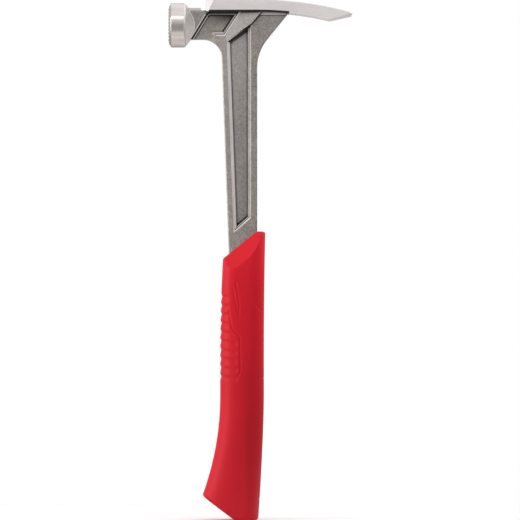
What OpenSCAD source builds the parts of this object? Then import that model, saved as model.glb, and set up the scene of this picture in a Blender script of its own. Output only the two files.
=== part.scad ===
// Framing hammer. One steel forging carries the milled poll, the neck, the rail along the top of the
// head, the rip claw, the I-beam shank and the tang. A magnet sits in the nail set behind the poll.
// A soft damping sleeve is moulded round the tang, and the grip is moulded over the sleeve.
// Lengths are in millimetres and angles in degrees. The origin is where the handle's axis meets the
// flat of the butt. X runs from the striking face to the claw, Y across the hammer, Z up the handle.

/* [Overall] */
// Length from the flat of the butt to the top of the head
overall_length = 381; // [360:1:400]
// Thickness of the flat-sided forging: the neck and the flanges of the shank
body_t = 15.2; // [14:0.1:17]

/* [Poll] */
// Distance from the handle's axis to the striking face
face_reach = 54.8; // [53:0.1:60]
// Diameter of the milled flat on the striking face
face_d = 25.6; // [23:0.1:28]
// Length of the chamfer round the striking face, along the poll's axis
face_chamfer = 2.2; // [1.5:0.1:3]
// Diameter of the poll's rim
poll_d = 32.6; // [31:0.1:35]
// Length of the cylindrical rim
rim_length = 10.2; // [8:0.1:12]
// Depth of the poll's axis below the top of the head
poll_drop = 18.2; // [17.5:0.1:19.5]
// Angle between the tapered back of the poll and the poll's axis
taper_angle = 53; // [48:1:58]
// Spacing of the grooves milled across the striking face
mill_pitch = 2.5; // [2.2:0.1:3.5]
// Depth of the milled grooves
mill_depth = 1; // [0.6:0.05:1.05]

/* [Neck and cheek] */
// Height of the neck
neck_h = 21.2; // [19:0.1:23]
// Distance from the handle's axis to the front of the cheek's recess, at the rail
cheek_front = 26.1; // [24:0.1:26.6]
// Depth of the lower corner of the cheek's recess below the top of the head
cheek_drop = 26.2; // [24.5:0.1:28]
// Thickness left between the recesses of the two cheeks
cheek_t = 9.2; // [7:0.1:11]
// Angle of the cheek recess's sides from upright
cheek_angle = 33; // [28:1:37]
// Sloping run of the walls of the cheek's recess
cheek_wall_run = 1.7; // [1:0.1:2.2]
// Length over which the floor of the cheek's recess ramps up to the shank's front flange
ramp_length = 10; // [7:0.1:13]

/* [Rail and claw] */
// Distance from the handle's axis to the front wall of the rail
rail_front = 27.2; // [26.8:0.1:29]
// Height of the rail, and thickness of the claw
rail_h = 8.7; // [8:0.1:9.5]
// Width of the rail
rail_w = 24; // [22:0.1:28]
// Length of the chamfer on the rail's front corners, at the top
rail_chamfer_top = 5.7; // [4:0.1:7]
// Length of the chamfer on the rail's front corners, at the bottom
rail_chamfer_low = 1.6; // [1:0.1:3]
// Distance from the handle's axis to the tips of the claw
claw_reach = 80; // [74:0.5:88]
// Width across the tips of the claw
claw_w = 40; // [36:0.1:44]
// Distance from the handle's axis to where the claw starts to bend down
claw_bend_start = 11; // [5:0.5:18]
// Radius of the bend along the top of the claw
claw_bend_r = 242; // [200:1:300]
// Distance from the handle's axis to where the claw starts to flare
claw_flare_start = 24; // [16:0.5:30]
// Length of the bevel under the tips
tip_bevel = 16.5; // [12:0.5:20]
// Thickness left at the edge of the tips
tip_edge = 0.8; // [0.5:0.1:1.5]
// Radius of the outer corners of the tips
tip_corner_r = 3; // [1.5:0.1:5]
// Length of the nail slot
slot_length = 34; // [28:0.5:40]
// Width of the nail slot at its mouth
slot_mouth_w = 11; // [9:0.1:13]
// Width of the nail slot at its root
slot_root_w = 2.8; // [2:0.1:4]

/* [Brace and gusset] */
// Distance in front of the handle's axis to the brace's front edge, at the rail
brace_front = 1.8; // [1:0.1:3.5]
// Distance behind the handle's axis to the brace's rear edge, at the rail
brace_rear = 13.8; // [11:0.1:16]
// Height of the brace's rear edge above the flanges, at the rail
brace_rise = 2.1; // [1:0.1:2.3]
// Length over which the brace's foot fades into the front flange
brace_fade = 12; // [8:0.5:18]
// Distance from the handle's axis to the upper end of the gusset under the claw
gusset_reach = 33.9; // [31:0.1:36]
// Depth below the top of the head where the gusset's slope would meet the shank
gusset_drop = 37.5; // [34:0.1:42]
// Height of the sloping relief cut under the rail
relief_h = 1.9; // [1:0.1:2.5]
// Depth of that relief
relief_d = 1.1; // [0.6:0.1:1.6]

/* [Shank] */
// Width of the shank where it enters the grip
shank_w = 20.9; // [19:0.1:21.6]
// Distance from the handle's axis to the shank's front edge, level with the underside of the neck
shank_front_top = 16.1; // [14.5:0.1:17.5]
// Radius between the neck and the shank
front_fillet_r = 13.4; // [10:0.1:16]
// Radius between the gusset and the shank
rear_fillet_r = 33; // [24:0.5:40]
// Width of the flanges beside the web
flange_w = 4.1; // [3.4:0.1:5]
// Thickness of the web between the flanges
web_t = 6; // [4.5:0.1:8]
// Sloping run of the walls of the web's recess
web_wall_run = 2.1; // [1.5:0.1:3]
// Depth of the rear corner of the web's recess below the top of the head
web_top_drop = 17.3; // [16:0.1:20]
// Angle of the upper end of the web's recess from upright
web_top_angle = 54; // [49:1:58]
// Angle of the lower end of the web's recess from level
web_end_angle = 41; // [36:1:46]
// Length of plain shank between the web's recess and the grip, along the handle's axis
plain_length = 13.7; // [9:0.1:20]

/* [Nail set] */
// Length of the pad that the nail lies on
pad_length = 8.8; // [8:0.1:10]
// Width of the pad
pad_w = 11; // [9.5:0.1:13]
// Height of the pad above the neck
pad_h = 2.1; // [1.6:0.1:2.4]
// Width of the nail groove
groove_w = 5; // [4.6:0.1:5.6]
// Depth of the nail groove in the pad
groove_depth = 0.8; // [0.5:0.1:1.2]
// Length of the slot for the nail's head, between the pad and the rail
head_slot_l = 3.6; // [3:0.1:4.5]
// Width of the slot for the nail's head
head_slot_w = 9.8; // [8.8:0.1:10.6]
// Depth of that slot below the top of the neck
head_slot_depth = 1.4; // [1:0.1:2]
// Diameter of the magnet
magnet_d = 6.35; // [5.5:0.05:7]
// Height of the magnet
magnet_h = 3.2; // [2.5:0.1:4.5]

/* [Tang and sleeve] */
// Width of the tang
tang_w = 14.4; // [12:0.1:16]
// Thickness of the tang
tang_t = 7; // [5.5:0.1:9]
// Height of the tang's end above the butt
tang_end = 28; // [26:0.5:34]
// Depth of the shank's shoulder inside the grip, below the grip's front edge
shoulder_depth = 17; // [12:0.5:24]
// Diameter of the holes through the tang that lock the sleeve
lock_hole_d = 8; // [6:0.1:9]
// Number of lock holes
lock_hole_count = 3; // [1:1:3]
// Spacing of the lock holes
lock_hole_pitch = 48; // [40:1:50]
// Depth of the first lock hole below the shoulder
lock_hole_drop = 28; // [20:1:35]
// Thickness of the sleeve below the tang's end
sleeve_end_t = 5; // [3:0.5:7]

/* [Grip] */
// Height of the grip's top edge, behind the shank
grip_top = 211.4; // [200:0.1:225]
// Angle of the grip's sloping top from level
top_slope = 38.8; // [35:0.1:43]
// Distance behind the handle's axis where the sloping top meets the level one
top_flat_front = 10.2; // [8.5:0.1:10.4]
// Wall of the grip beside the shank, at the sloping top
lip_t = 1; // [0.6:0.1:1.6]
// Angle between the facets at the grip's top and its sides
facet_angle = 25; // [20:1:32]
// Distance from the handle's axis to the finger side, at the waist
grip_front = 16.75; // [15.5:0.05:18.5]
// Distance from the handle's axis to the palm side, at the waist
grip_back = 15.35; // [14.6:0.05:17]
// Thickness of the grip at the waist
grip_t = 27.6; // [24:0.1:31]
// Distance from the handle's axis to the finger side, at the sloping top
top_front = 14.7; // [13.6:0.1:16]
// Distance from the handle's axis to the palm side, at the top
top_back = 16.4; // [15.2:0.1:18]
// Thickness of the grip at its top
top_t = 28.4; // [25:0.1:31]
// Height of the lower end of the straight waist
waist_low = 90; // [80:1:96]
// Height of the upper end of the straight waist
waist_high = 122; // [115:1:140]
// Distance from the handle's axis to the toe of the butt
toe_reach = 29.8; // [26:0.1:33]
// Height of the toe
toe_height = 17.6; // [14:0.1:21]
// Distance in front of the handle's axis to the front of the butt's flat
butt_flat_front = 6; // [4:0.1:8]
// Distance from the handle's axis to the palm side, at the butt
heel_back = 11.2; // [10.8:0.1:14]
// Thickness of the grip at the butt
butt_t = 29.4; // [26:0.1:33]
// Size of the rounding round the butt's flat
butt_round = 2.2; // [1:0.1:3]
// Number of ribs on the finger side
rib_count = 10; // [6:1:12]
// Spacing of the ribs
rib_pitch = 6.52; // [5.5:0.02:7.5]
// Depth of the hollows between the ribs
rib_depth = 0.7; // [0.4:0.05:1]
// Height of the lowest hollow
rib_low = 105; // [100:1:112]

/* [Hidden] */

// Overrun of cuts past the faces that they open, and gap left by the bond between two pieces
cut_over = 1;
bond_gap = 0.05;
// Size of the blocks that trim the grip, larger than anything they trim
trim_size = 2 * overall_length;

// Steps along an arc of an outline, and points round a section of the grip
arc_steps = 14;
section_points = 40;
// Fullness of the grip's section: 2 is an ellipse, more is squarer
section_power = 2.2;
// Share of a rib's spacing taken by its steep lower flank
rib_flank_share = 0.4;
// Angle round the section over which the ribs fade out, either side of the finger side
rib_wrap_angle = 80;

// Levels of the head
head_top = overall_length;
rail_low = head_top - rail_h;
poll_z = head_top - poll_drop;
neck_top = poll_z + neck_h / 2;
neck_low = poll_z - neck_h / 2;

// The poll's outline
poll_r = poll_d / 2;
rim_front = -face_reach + face_chamfer;
rim_back = rim_front + rim_length;
taper_end_r = cheek_t / 2;
taper_end = rim_back + (poll_r - taper_end_r) / tan(taper_angle);

// The grip's sloping top, which also sets the ends of the shank's features
slope_gain = tan(top_slope);
function slope_z(x) = grip_top + (x - top_flat_front) * slope_gain;
shank_entry = slope_z(-shank_w / 2);
shoulder_z = slope_z(-top_front) - shoulder_depth;

// The shank's front edge leans from its width at the grip out to its place under the neck
front_low = [-shank_w / 2, shank_entry];
front_corner = [-shank_front_top, neck_low];
front_lean = front_corner - front_low;
rear_corner = [shank_w / 2, head_top - gusset_drop];
gusset_top = [gusset_reach, rail_low];

// Edges of the web's recess: beside the flanges, along the brace and above the grip
web_front = front_low + [flange_w, 0];
web_rear = [shank_w / 2 - flange_w, head_top - web_top_drop];
web_end = [0, slope_z(0) + plain_length];
web_top_edge = [sin(web_top_angle), cos(web_top_angle)];
web_end_edge = [cos(web_end_angle), sin(web_end_angle)];
web_outline = [
    meet(web_front, front_lean, web_end, web_end_edge),
    meet(web_rear, [0, 1], web_end, web_end_edge),
    web_rear,
    meet(web_front, front_lean, web_rear, web_top_edge),
];

// Edges of the cheek's recess and of the brace behind it
cheek_edge = [-tan(cheek_angle), -1];
cheek_height = cheek_drop - rail_h;
brace_top_front = [-brace_front, rail_low];
brace_top_rear = [brace_rear, rail_low];
brace_foot = brace_top_front + cheek_height * cheek_edge;
cheek_outline = [
    [-cheek_front, rail_low] + cheek_height * cheek_edge,
    brace_foot,
    brace_top_front - rail_h / 2 * cheek_edge,
    [-cheek_front, rail_low] - rail_h / 2 * cheek_edge,
];

// The nail set, from the rail's front wall forwards
pad_rear = -rail_front - head_slot_l;
pad_middle = pad_rear - pad_length / 2;
pad_top = neck_top + pad_h;
groove_floor = pad_top - groove_depth;

// The tang's sleeve and the grip's cavity share the shank's section
sleeve_low = tang_end - sleeve_end_t;

// Directions and outlines

function unit(v) = v / norm(v);

// Where the line through p along d meets the line through q along e
function meet(p, d, q, e) = p + d * cross(q - p, e) / cross(d, e);

// Points along an arc about c, from angle a to angle b
function arc(c, r, a, b) =
    [for (i = [0:arc_steps]) let (t = a + (b - a) * i / arc_steps) c + r * [cos(t), sin(t)]];

// Points along the arc of radius r that rounds the corner at p, between its neighbours a and b
function fillet(a, p, b, r) =
    let (
        u = unit(a - p),
        v = unit(b - p),
        half = acos(u * v) / 2,
        c = p + unit(u + v) * r / sin(half),
        from = p + u * r / tan(half) - c,
        to = p + v * r / tan(half) - c,
        start = atan2(from.y, from.x),
        sweep = (atan2(to.y, to.x) - start + 540) % 360 - 180
    )
    arc(c, r, start, start + sweep);

// A convex outline, listed anticlockwise, drawn in by run on every side
function inset(points, run) =
    let (n = len(points))
    [
        for (i = [0:n - 1])
            let (
                p = points[i],
                d = unit(p - points[(i + n - 1) % n]),
                e = unit(points[(i + 1) % n] - p)
            )
            meet(p + run * [-d.y, d.x], d, p + run * [-e.y, e.x], e)
    ];

// Shared shapes

// An outline drawn in X and Z, made t thick about the middle plane
module slab(points, t) {
    translate([0, t / 2, 0])
        rotate([90, 0, 0])
            linear_extrude(t)
                polygon(points);
}

// Its children, and their mirror image on the other side of the hammer
module both_sides() {
    children();
    mirror([0, 1, 0])
        children();
}

// A solid between two like outlines in X and Z, the first at y_low and the second at y_high
module loft(low, high, y_low, y_high) {
    n = len(low);
    polyhedron(
        points = concat(
            [for (p = low) [p.x, y_low, p.y]],
            [for (p = high) [p.x, y_high, p.y]]
        ),
        faces = concat(
            [[for (i = [n - 1:-1:0]) i]],
            [[for (i = [0:n - 1]) n + i]],
            [for (i = [0:n - 1]) [i, (i + 1) % n, n + (i + 1) % n, n + i]]
        )
    );
}

// Cuts a recess with sloping walls: outline is its edge at the face of the forging
module recess(outline, floor_y, run) {
    depth = body_t / 2 - floor_y;
    open_y = body_t / 2 + brace_rise + cut_over;
    slope = run / depth;
    loft(inset(outline, run), inset(outline, slope * (body_t / 2 - open_y)), floor_y, open_y);
}

// The forging

// The flat-sided plate: neck, cheek, gusset and shank, down to the shoulder inside the grip
module body_plate() {
    rail_middle = head_top - rail_h / 2;
    inside_rail = -rail_front + rail_chamfer_top;
    neck_start = rim_back - cut_over;
    slab(
        concat(
            [[neck_start, neck_low]],
            fillet([neck_start, neck_low], front_corner, front_low, front_fillet_r),
            [
                front_low,
                [-shank_w / 2, shoulder_z],
                [shank_w / 2, shoulder_z],
            ],
            fillet([shank_w / 2, shoulder_z], rear_corner, gusset_top, rear_fillet_r),
            [
                gusset_top,
                [gusset_reach, rail_middle],
                [inside_rail, rail_middle],
                [inside_rail, neck_top],
                [neck_start, neck_top],
            ]
        ),
        body_t
    );
}

// The raised brace that runs from the rail down to the front flange, on one side
module brace() {
    across = [-cheek_edge.y, cheek_edge.x];
    rise_rate = brace_rise / ((brace_top_rear - brace_top_front) * across);
    foot = web_outline[3];
    fade = foot - brace_fade * unit(front_lean);
    outline = [brace_foot, fade, foot, web_rear, brace_top_rear, brace_top_front];
    tops = [
        for (p = outline)
            let (rise = p == fade ? 0 : rise_rate * ((p - brace_top_front) * across))
            [p.x, body_t / 2 + rise, p.y]
    ];
    n = len(outline);
    polyhedron(
        points = concat([for (p = outline) [p.x, 0, p.y]], tops),
        faces = concat(
            [[for (i = [n - 1:-1:0]) i]],
            [[n, n + 1, n + 2], [n, n + 2, n + 3, n + 4, n + 5]],
            [for (i = [0:n - 1]) [i, (i + 1) % n, n + (i + 1) % n, n + i]]
        )
    );
}

// The ramp that lets the floor of the cheek's recess out under the neck, on one side
module cheek_ramp() {
    front = -cheek_front + cheek_height * cheek_edge.x - cheek_drop;
    ramp_foot = brace_foot.x - ramp_length;
    floor_y = cheek_t / 2;
    low = brace_foot.y - cheek_drop;
    recess_wall = inset(cheek_outline, cheek_wall_run);
    intersection() {
        translate([0, 0, low])
            linear_extrude(recess_wall[0].y - low)
                polygon([
                    [front, floor_y],
                    [ramp_foot, floor_y],
                    [brace_foot.x, body_t / 2],
                    [brace_foot.x, body_t],
                    [front, body_t],
                ]);
        recess(
            [
                cheek_outline[0] + cheek_drop * cheek_edge,
                cheek_outline[1] + cheek_drop * cheek_edge,
                cheek_outline[1] - 2 * cheek_wall_run * cheek_edge,
                cheek_outline[0] - 2 * cheek_wall_run * cheek_edge,
            ],
            floor_y,
            cheek_wall_run
        );
    }
}

// The sloping relief along the underside of the rail, on one side
module rail_relief() {
    edge_y = body_t / 2;
    translate([-cheek_front, 0, 0])
        rotate([90, 0, 90])
            linear_extrude(cheek_front + gusset_reach + cut_over)
                polygon([
                    [edge_y - relief_d, rail_low],
                    [edge_y, rail_low - relief_h],
                    [edge_y + brace_rise + cut_over, rail_low - relief_h],
                    [edge_y + brace_rise + cut_over, rail_low],
                ]);
}

// The rail and the claw: their outline from the side, trimmed to their outline from above
module rail_and_claw() {
    bend = [claw_bend_start, head_top - claw_bend_r];
    inner_r = claw_bend_r - rail_h;
    tip_turn = asin((claw_reach - claw_bend_start) / claw_bend_r);
    bevel_turn = asin((claw_reach - tip_bevel - claw_bend_start) / inner_r);
    tip = bend + claw_bend_r * [sin(tip_turn), cos(tip_turn)];
    flare_run = claw_reach - claw_flare_start;
    flare = (claw_w - rail_w) / 2;
    flare_r = (flare_run * flare_run + flare * flare) / (2 * flare);
    flare_turn = asin(flare_run / flare_r);
    flare_side = arc([claw_flare_start, rail_w / 2 + flare_r], flare_r, -90, flare_turn - 90);
    last = flare_side[arc_steps - 1];
    corner = [claw_reach, claw_w / 2];
    half_plan = concat(
        [for (i = [0:arc_steps - 1]) flare_side[i]],
        fillet(last, corner, [claw_reach, 0], tip_corner_r)
    );
    intersection() {
        slab(
            concat(
                [[-rail_front, rail_low]],
                arc(bend, inner_r, 90, 90 - bevel_turn),
                [tip - [0, tip_edge]],
                arc(bend, claw_bend_r, 90 - tip_turn, 90),
                [[-rail_front, head_top]]
            ),
            claw_w
        );
        translate([0, 0, tip.y - claw_w])
            linear_extrude(head_top - tip.y + 2 * claw_w)
                polygon(concat(
                    [[-rail_front, -rail_w / 2]],
                    [for (p = half_plan) [p.x, -p.y]],
                    [for (i = [len(half_plan) - 1:-1:0]) half_plan[i]],
                    [[-rail_front, rail_w / 2]]
                ));
    }
}

// Trims the rail's front corner: a chamfer that narrows towards the neck, on one side
module rail_chamfer() {
    side = rail_w / 2 + cut_over;
    front = -rail_front - cut_over;
    grow = (rail_chamfer_top - rail_chamfer_low) / rail_h;
    high = rail_chamfer_top + (2 + grow) * cut_over;
    low = rail_chamfer_low + (2 - grow) * cut_over;
    polyhedron(
        points = [
            [front, side - low, rail_low - cut_over],
            [front + low, side, rail_low - cut_over],
            [front, side, rail_low - cut_over],
            [front, side - high, head_top + cut_over],
            [front + high, side, head_top + cut_over],
            [front, side, head_top + cut_over],
        ],
        faces = [[0, 1, 2], [3, 5, 4], [0, 3, 4, 1], [1, 4, 5, 2], [2, 5, 3, 0]]
    );
}

// The nail slot between the tines, with a round root
module claw_slot() {
    root = claw_reach - slot_length + slot_root_w / 2;
    mouth = claw_reach + cut_over;
    mouth_half = slot_mouth_w / 2 + cut_over * (slot_mouth_w - slot_root_w) / 2 / slot_length;
    translate([0, 0, rail_low - claw_w])
        linear_extrude(rail_h + 2 * claw_w) {
            polygon([
                [root, -slot_root_w / 2],
                [mouth, -mouth_half],
                [mouth, mouth_half],
                [root, slot_root_w / 2],
            ]);
            translate([root, 0])
                circle(d = slot_root_w, $fn = 32);
        }
}

// The poll and its tapered back, turned about the poll's axis
module poll() {
    translate([0, 0, poll_z])
        rotate([0, 90, 0])
            rotate_extrude($fn = 96)
                polygon([
                    [0, -face_reach],
                    [face_d / 2, -face_reach],
                    [poll_r, rim_front],
                    [poll_r, rim_back],
                    [taper_end_r, taper_end],
                    [0, taper_end],
                ]);
}

// The V grooves milled across the face, both ways
module mill_grooves() {
    reach = floor(face_d / 2 / mill_pitch);
    half = mill_depth + cut_over;
    for (turn = [0, 90])
        for (i = [-reach:reach])
            translate([0, 0, poll_z])
                rotate([turn, 0, 0])
                    slab(
                        [
                            [-face_reach + mill_depth, i * mill_pitch],
                            [-face_reach - cut_over, i * mill_pitch + half],
                            [-face_reach - cut_over, i * mill_pitch - half],
                        ],
                        poll_d
                    );
}

// The pad that the nail lies on
module nail_pad() {
    translate([pad_rear - pad_length, -pad_w / 2, neck_top - pad_h])
        cube([pad_length, pad_w, 2 * pad_h]);
}

// Cuts for the nail's shaft, the nail's head and the magnet
module nail_set_cuts() {
    groove_front = -face_reach - cut_over;
    translate([groove_front, -groove_w / 2, groove_floor])
        cube([-rail_front - groove_front, groove_w, poll_r]);
    translate([pad_rear, -head_slot_w / 2, neck_top - head_slot_depth])
        cube([head_slot_l, head_slot_w, poll_r]);
    translate([pad_middle, 0, groove_floor - magnet_h])
        cylinder(d = magnet_d + 2 * bond_gap, h = poll_r, $fn = 64);
}

// Each lock hole's place along the tang
module at_lock_holes() {
    for (i = [0:lock_hole_count - 1])
        translate([0, 0, shoulder_z - lock_hole_drop - i * lock_hole_pitch])
            children();
}

// A round bar across the tang
module cross_bar(d, length) {
    rotate([90, 0, 0])
        cylinder(d = d, h = length, center = true, $fn = 48);
}

module tang() {
    difference() {
        translate([-tang_w / 2, -tang_t / 2, tang_end])
            cube([tang_w, tang_t, shoulder_z - tang_end]);
        at_lock_holes()
            cross_bar(lock_hole_d, tang_t + 2 * cut_over);
    }
}

module forged_body() {
    color("slategray") {
        difference() {
            union() {
                difference() {
                    union() {
                        body_plate();
                        both_sides()
                            brace();
                    }
                    both_sides() {
                        recess(web_outline, web_t / 2, web_wall_run);
                        recess(cheek_outline, cheek_t / 2, cheek_wall_run);
                        cheek_ramp();
                        rail_relief();
                    }
                }
                difference() {
                    rail_and_claw();
                    both_sides()
                        rail_chamfer();
                    claw_slot();
                }
                difference() {
                    poll();
                    mill_grooves();
                }
                nail_pad();
            }
            nail_set_cuts();
        }
        tang();
    }
}

// The magnet

module nail_magnet() {
    color("silver")
        translate([pad_middle, 0, groove_floor - magnet_h])
            cylinder(d = magnet_d, h = magnet_h, $fn = 64);
}

// The damping sleeve: a block round the tang with bars through the tang's lock holes

module damping_sleeve() {
    hollow_w = tang_w + 2 * bond_gap;
    hollow_t = tang_t + 2 * bond_gap;
    hollow_low = tang_end - bond_gap;
    color("dimgray") {
        difference() {
            translate([-shank_w / 2, -body_t / 2, sleeve_low])
                cube([shank_w, body_t, shoulder_z - bond_gap - sleeve_low]);
            translate([-hollow_w / 2, -hollow_t / 2, hollow_low])
                cube([hollow_w, hollow_t, shoulder_z - hollow_low]);
        }
        at_lock_holes()
            cross_bar(lock_hole_d - 2 * bond_gap, (body_t + tang_t) / 2);
    }
}

// The grip

// How far a height lies past the waist, as a share of the way to the end of the grip
function below_share(z, low_end) = max(0, (waist_low - z) / (waist_low - low_end));
function above_share(z, high_end) = max(0, (z - waist_high) / (high_end - waist_high));

// A size along the grip: even over the waist, curving to its values at the two ends
function along(z, waist, low, low_end, low_power, high, high_end) =
    waist + (low - waist) * pow(below_share(z, low_end), low_power)
    + (high - waist) * pow(above_share(z, high_end), 2);

front_edge = slope_z(-top_front);
function finger_side(z) = along(z, grip_front, toe_reach, toe_height, 2, top_front, front_edge);
function palm_side(z) = along(z, grip_back, heel_back, 0, 1.5, top_back, grip_top);
function half_thick(z) = along(z, grip_t, butt_t, 0, 2, top_t, grip_top) / 2;

// Depth of the hollows between the ribs at a height: a short flank below each rib, a long one above
rib_flank = rib_flank_share * rib_pitch;
rib_high = rib_low + (rib_count - 1) * rib_pitch;
function rib_hollow(z) =
    let (turn = (z - rib_low) / rib_pitch, phase = turn % 1)
    z <= rib_low - rib_flank || z >= rib_high + rib_flank ? 0
    : turn < 0 ? rib_depth * (1 + turn / rib_flank_share)
    : phase < rib_flank_share ? rib_depth * (1 - phase / rib_flank_share)
    : rib_depth * (phase - rib_flank_share) / (1 - rib_flank_share);

// A signed power, for the section's rounded corners
function bulge(v) = sign(v) * pow(abs(v), 2 / section_power);

// The grip's section at a height, drawn in by margin. The halves either side of the handle's axis
// have their own depths, and the hollows between the ribs fade out round the finger side.
function section(z, margin) =
    let (
        front = finger_side(z) - margin,
        back = palm_side(z) - margin,
        half = half_thick(z) - margin
    )
    [
        for (i = [0:section_points - 1])
            let (
                t = 360 * i / section_points,
                off_finger = abs(t - 180) / rib_wrap_angle,
                wrap = off_finger < 1 ? pow(cos(90 * off_finger), 2) : 0,
                reach = cos(t) > 0 ? back : front
            )
            [reach * bulge(cos(t)) + rib_hollow(z) * wrap, half * bulge(sin(t)), z]
    ];

// Heights of the sections, each with its margin: rounded butt, flare, ribs and collar
flare_steps = 10;
collar_steps = 8;
grip_sections = concat(
    [
        for (t = [0:30:90])
            [butt_round * (1 - cos(t)), butt_round * (1 - sin(t))]
    ],
    [
        for (i = [1:flare_steps])
            [butt_round + (rib_low - rib_flank - butt_round) * i / flare_steps, 0]
    ],
    [
        for (i = [0:rib_count - 1])
            for (share = i < rib_count - 1 ? [0, rib_flank_share, (1 + rib_flank_share) / 2] : [0])
                [rib_low + (i + share) * rib_pitch, 0]
    ],
    [
        for (i = [0:collar_steps])
            [rib_high + rib_flank + (grip_top - butt_round / 2 - rib_high - rib_flank) * i / collar_steps, 0]
    ],
    [[grip_top, butt_round / 2]]
);

// The grip before its ends are trimmed
module grip_form() {
    n = section_points;
    rings = len(grip_sections);
    polyhedron(
        points = [for (s = grip_sections) each section(s[0], s[1])],
        faces = concat(
            [[for (i = [0:n - 1]) i]],
            [[for (i = [n - 1:-1:0]) (rings - 1) * n + i]],
            [
                for (k = [0:rings - 2])
                    for (i = [0:n - 1])
                        let (a = k * n + i, b = k * n + (i + 1) % n)
                        each [[a, a + n, b + n], [a, b + n, b]]
            ]
        )
    );
}

// Trims the sloping top and the facets at its sides
module top_trim() {
    translate([top_flat_front, 0, grip_top])
        rotate([0, -top_slope, 0]) {
            translate([-trim_size / 2, -trim_size / 2, 0])
                cube(trim_size);
            both_sides()
                translate([-trim_size / 2, body_t / 2 + lip_t, 0])
                    rotate([facet_angle, 0, 0])
                        translate([0, 0, -trim_size / 2])
                            cube(trim_size);
        }
}

// Trims the slope from the butt's flat up to the toe
module toe_trim() {
    rise = atan2(toe_height, toe_reach - butt_flat_front);
    translate([-butt_flat_front, 0, 0])
        rotate([0, rise, 0])
            translate([-trim_size, -trim_size / 2, -trim_size])
                cube(trim_size);
}

module grip() {
    cavity_w = shank_w + 2 * bond_gap;
    cavity_t = body_t + 2 * bond_gap;
    cavity_low = sleeve_low - bond_gap;
    color("crimson")
        difference() {
            grip_form();
            top_trim();
            toe_trim();
            translate([-cavity_w / 2, -cavity_t / 2, cavity_low])
                cube([cavity_w, cavity_t, overall_length]);
        }
}

forged_body();
nail_magnet();
damping_sleeve();
grip();
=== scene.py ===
# Framing hammer: the looks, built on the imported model. Lengths are metres in the model's own frame:
# X from the striking face to the claw, Y across the hammer, Z up the handle from the butt.
import math
import bmesh
import bpy
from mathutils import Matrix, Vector


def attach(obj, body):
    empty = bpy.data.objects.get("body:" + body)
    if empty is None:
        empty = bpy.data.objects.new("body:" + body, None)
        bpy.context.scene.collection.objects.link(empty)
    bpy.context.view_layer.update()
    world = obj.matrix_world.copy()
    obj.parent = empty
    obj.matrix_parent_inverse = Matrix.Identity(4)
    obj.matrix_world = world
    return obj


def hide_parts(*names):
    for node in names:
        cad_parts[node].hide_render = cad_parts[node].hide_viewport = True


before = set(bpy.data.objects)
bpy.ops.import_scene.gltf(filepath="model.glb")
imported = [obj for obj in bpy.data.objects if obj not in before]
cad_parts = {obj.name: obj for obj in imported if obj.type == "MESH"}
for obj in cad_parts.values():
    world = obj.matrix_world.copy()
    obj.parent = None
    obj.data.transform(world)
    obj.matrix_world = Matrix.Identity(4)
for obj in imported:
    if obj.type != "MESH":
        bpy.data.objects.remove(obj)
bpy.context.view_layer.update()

MM = 0.001

# Sizes of the forging, shared with the model
HEAD_TOP = 381 * MM
BODY_HALF = 7.6 * MM
SHANK_HALF = 10.45 * MM
SHOULDER = 174.4 * MM
TANG_END = 28 * MM
LOCK_HOLES = 3
LOCK_HOLE_R = 4 * MM
LOCK_HOLE_DROP = 28 * MM
LOCK_HOLE_PITCH = 48 * MM
POLL_Z = 362.8 * MM
CONE_START = -41.9 * MM
CONE_R = 15.3 * MM
CONE_RATE = 10.7 / 8.32
MILL_PITCH = 2.5 * MM
RAIL_LOW = 372.3 * MM
RAIL_MIDDLE = 376.65 * MM
RAIL_HALF = 12 * MM
RAIL_FRONT = -27.2 * MM
CORNER_CUT_LOW = 1.6 * MM
CORNER_CUT_TOP = 5.7 * MM
CLAW_BEND = 11 * MM
CLAW_TOP_R = 242 * MM
CLAW_UNDER_R = 233.3 * MM
CLAW_TIP = 80 * MM
TIP_BEVEL = 16.5 * MM
TIP_EDGE = 0.8 * MM
FLARE_START = 24 * MM
FLARE_RUN = 56 * MM
FLARE = 7.95 * MM
SLOT_ROOT_R = 1.4
SLOT_ROOT_X = 47.4
GROOVE_FLOOR = 374.7 * MM
MAGNET_X = -35.2 * MM
MAGNET_HOLE_R = 3.225 * MM

# Sizes of the grip, shared with the model
GRIP_TOP = 211.4 * MM
WAIST_LOW = 90 * MM
WAIST_HIGH = 122 * MM
WAIST_FRONT = 16.75 * MM
WAIST_BACK = 15.35 * MM
WAIST_HALF = 13.8 * MM
BUTT_BACK = 11.2 * MM
BUTT_HALF = 14.7 * MM
TOE_REACH = 29.8 * MM
TOE_HEIGHT = 17.6 * MM
BUTT_FLAT_FRONT = 6 * MM
TOP_FRONT = 14.7 * MM
TOP_BACK = 16.4 * MM
TOP_HALF = 14.2 * MM
TOP_FLAT_FRONT = 10.2 * MM
TOP_SLOPE = math.radians(38.8)
FRONT_EDGE = GRIP_TOP - (TOP_FLAT_FRONT + TOP_FRONT) * math.tan(TOP_SLOPE)
FACET_ANGLE = math.radians(25)
HOLLOW_LOW = 22.95 * MM
BOND = 0.05 * MM

# The forging's finishes, by their place in its list of materials. Several are lighter or darker copies of
# the steel that paint light and shade onto it.
GREY, GROUND_AND_HIGHLIGHT, POLISHED, PAINTED_HIGHLIGHT, PAINTED_SHADE, PAINTED_LIT_GREY, CONE, GROUND_SHADED_TOP = range(8)

# Below this angle two faces count as one smooth surface
SMOOTH_FOLD = math.radians(14)


# Working in edit mode

def only(piece):
    bpy.ops.object.select_all(action="DESELECT")
    piece.select_set(True)
    bpy.context.view_layer.objects.active = piece


def open_edit(piece, mode):
    only(piece)
    bpy.ops.object.mode_set(mode="EDIT")
    bpy.ops.mesh.select_mode(type=mode)
    return bmesh.from_edit_mesh(piece.data)


def close_edit():
    bpy.ops.object.mode_set(mode="OBJECT")


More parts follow.
